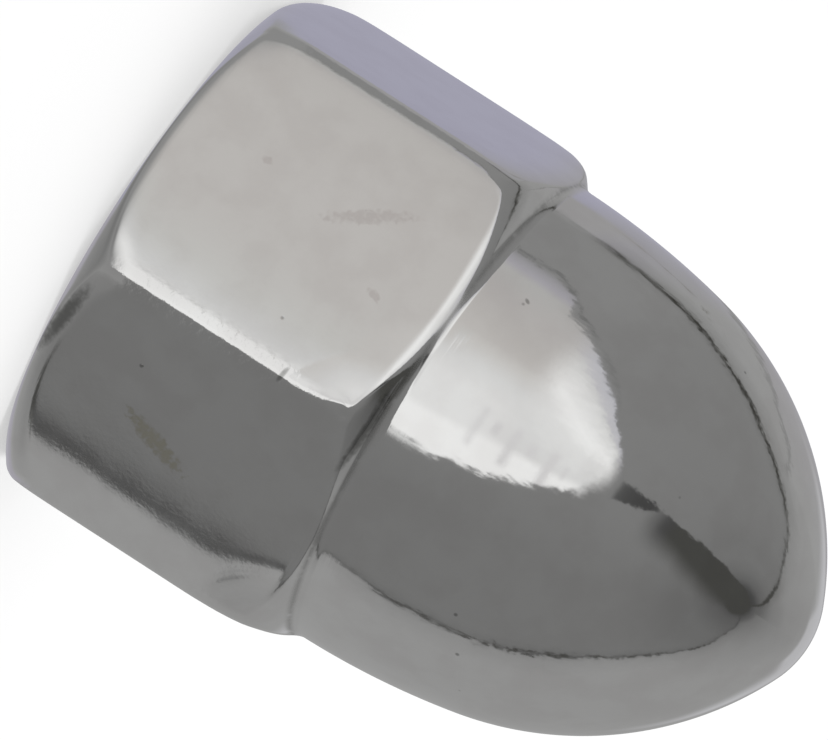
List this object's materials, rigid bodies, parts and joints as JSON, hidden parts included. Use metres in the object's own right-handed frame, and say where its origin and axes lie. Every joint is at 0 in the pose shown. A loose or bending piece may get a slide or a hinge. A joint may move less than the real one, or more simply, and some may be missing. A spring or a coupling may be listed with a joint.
{
  "type": "cap nut",
  "caption": "Tall cap nut in bright plated steel: a hexagonal wrench part that runs into a closed pointed dome, with a blind threaded hole from the flat open end.",
  "frame": {"origin": "centre of the open bearing face, on the thread axis", "axes": "+Z along the thread axis from the bearing face to the tip of the dome, +X square to one flat of the hexagon, +Y towards a corner"},
  "size_m": [0.0142, 0.0162, 0.0209],
  "materials": {
    "chrome": "bright plated, polished"
  },
  "bodies": {
    "root": {"cap_nut": "chrome"}
  },
  "joints": []
}
